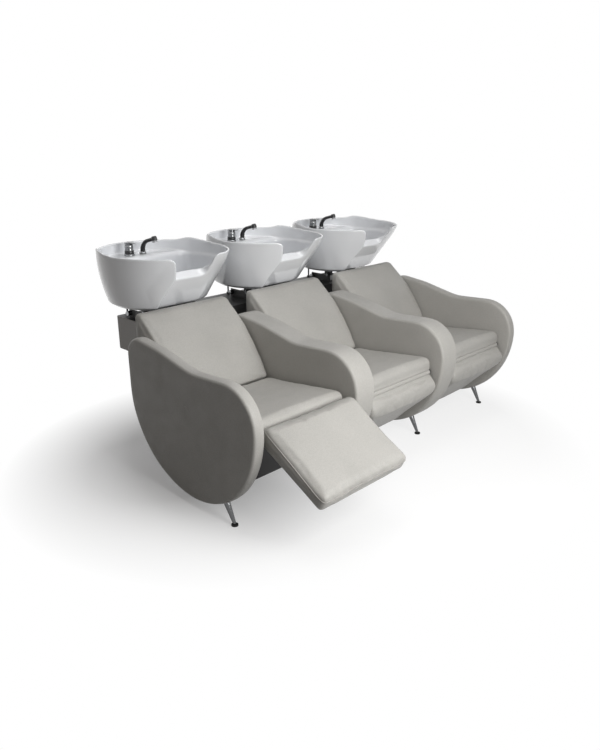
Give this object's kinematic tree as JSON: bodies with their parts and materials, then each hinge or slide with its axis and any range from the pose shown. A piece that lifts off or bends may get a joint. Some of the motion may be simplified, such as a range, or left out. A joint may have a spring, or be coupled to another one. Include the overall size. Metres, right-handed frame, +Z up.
{
  "type": "hair washing bed",
  "caption": "Row of upholstered backwash seats between large rounded padded panels, with folding legrests and tilting white ceramic basins on a rear service duct.",
  "frame": {"origin": "on the floor, at the middle of the anchor holes of the middle seat's pedestal", "axes": "+X along the row from the first seat to the third, +Y from the legrests to the basins, +Z up"},
  "size_m": [1.977, 1.6563, 1.0471],
  "materials": {
    "upholstery": "smooth matt upholstery leather",
    "ceramic": "glossy white glaze",
    "chrome": "polished",
    "black_steel": "satin black powder coat",
    "grey_steel": "satin grey powder coat",
    "bronze": "plain bush bronze",
    "copper": "plain pipe",
    "grey_plastic": "moulded pipe",
    "rubber": "moulded rubber",
    "screw_steel": "zinc plated"
  },
  "bodies": {
    "row": {"side_panel_1": "upholstery", "side_panel_2": "upholstery", "side_panel_3": "upholstery", "side_panel_4": "upholstery", "seat_cushion_1": "upholstery", "backrest_cushion_1": "upholstery", "seat_frame_1": "black_steel", "pedestal_1": "black_steel", "seat_cushion_2": "upholstery", "backrest_cushion_2": "upholstery", "seat_frame_2": "black_steel", "pedestal_2": "black_steel", "seat_cushion_3": "upholstery", "backrest_cushion_3": "upholstery", "seat_frame_3": "black_steel", "pedestal_3": "black_steel", "front_legs": "chrome", "leg_feet": "rubber", "hinge_bushes": "bronze", "basin_stands": "black_steel", "tilt_locks": "chrome", "rear_stops": "black_steel", "duct_housing": "black_steel", "duct_end_plate_left": "grey_steel", "duct_end_plate_right": "grey_steel", "duct_rear_cover": "black_steel", "cover_screws": "screw_steel", "duct_uprights": "black_steel", "water_manifolds": "copper", "waste_pipe": "grey_plastic"},
    "legrest_1": {"legrest_frame_1": "black_steel", "legrest_cushion_1": "upholstery"},
    "basin_1": {"basin_1": "ceramic", "basin_cradle_1": "black_steel", "basin_drain_1": "chrome", "mixer_body_1": "chrome", "spray_socket_1": "chrome"},
    "mixer_1": {"mixer_cap_1": "chrome"},
    "lever_1": {"mixer_lever_1": "chrome"},
    "spray_1": {"hand_spray_1": "chrome"},
    "legrest_2": {"legrest_frame_2": "black_steel", "legrest_cushion_2": "upholstery"},
    "basin_2": {"basin_2": "ceramic", "basin_cradle_2": "black_steel", "basin_drain_2": "chrome", "mixer_body_2": "chrome", "spray_socket_2": "chrome"},
    "mixer_2": {"mixer_cap_2": "chrome"},
    "lever_2": {"mixer_lever_2": "chrome"},
    "spray_2": {"hand_spray_2": "chrome"},
    "legrest_3": {"legrest_frame_3": "black_steel", "legrest_cushion_3": "upholstery"},
    "basin_3": {"basin_3": "ceramic", "basin_cradle_3": "black_steel", "basin_drain_3": "chrome", "mixer_body_3": "chrome", "spray_socket_3": "chrome"},
    "mixer_3": {"mixer_cap_3": "chrome"},
    "lever_3": {"mixer_lever_3": "chrome"},
    "spray_3": {"hand_spray_3": "chrome"}
  },
  "joints": [
    {"name": "legrest_1_hinge", "type": "hinge", "parent": "row", "child": "legrest_1", "pos_m": [-0.66, -0.424, 0.4], "axis": [1, 0, 0], "range_deg": [0, 105]},
    {"name": "basin_1_tilt", "type": "hinge", "parent": "row", "child": "basin_1", "pos_m": [-0.625, 0.575, 0.702], "axis": [1, 0, 0], "range_deg": [0, 4]},
    {"name": "mixer_1_swivel", "type": "hinge", "parent": "basin_1", "child": "mixer_1", "pos_m": [-0.688, 0.755, 1], "axis": [0, 0, 1], "range_deg": [-45, 45]},
    {"name": "mixer_1_lift", "type": "hinge", "parent": "mixer_1", "child": "lever_1", "pos_m": [-0.688, 0.761, 1.0183], "axis": [1, 0, 0], "range_deg": [-25, 0]},
    {"name": "spray_1_pull", "type": "slide", "parent": "basin_1", "child": "spray_1", "axis": [0, 0, 1], "range_m": [0, 0.06]},
    {"name": "legrest_2_hinge", "type": "hinge", "parent": "row", "child": "legrest_2", "pos_m": [0, -0.424, 0.4], "axis": [1, 0, 0], "range_deg": [-105, 0]},
    {"name": "basin_2_tilt", "type": "hinge", "parent": "row", "child": "basin_2", "pos_m": [0.035, 0.575, 0.702], "axis": [1, 0, 0], "range_deg": [0, 4]},
    {"name": "mixer_2_swivel", "type": "hinge", "parent": "basin_2", "child": "mixer_2", "pos_m": [-0.028, 0.755, 1], "axis": [0, 0, 1], "range_deg": [-45, 45]},
    {"name": "mixer_2_lift", "type": "hinge", "parent": "mixer_2", "child": "lever_2", "pos_m": [-0.028, 0.761, 1.0183], "axis": [1, 0, 0], "range_deg": [-25, 0]},
    {"name": "spray_2_pull", "type": "slide", "parent": "basin_2", "child": "spray_2", "axis": [0, 0, 1], "range_m": [0, 0.06]},
    {"name": "legrest_3_hinge", "type": "hinge", "parent": "row", "child": "legrest_3", "pos_m": [0.66, -0.424, 0.4], "axis": [1, 0, 0], "range_deg": [-105, 0]},
    {"name": "basin_3_tilt", "type": "hinge", "parent": "row", "child": "basin_3", "pos_m": [0.695, 0.575, 0.702], "axis": [1, 0, 0], "range_deg": [0, 4]},
    {"name": "mixer_3_swivel", "type": "hinge", "parent": "basin_3", "child": "mixer_3", "pos_m": [0.632, 0.755, 1], "axis": [0, 0, 1], "range_deg": [-45, 45]},
    {"name": "mixer_3_lift", "type": "hinge", "parent": "mixer_3", "child": "lever_3", "pos_m": [0.632, 0.761, 1.0183], "axis": [1, 0, 0], "range_deg": [-25, 0]},
    {"name": "spray_3_pull", "type": "slide", "parent": "basin_3", "child": "spray_3", "axis": [0, 0, 1], "range_m": [0, 0.06]}
  ]
}
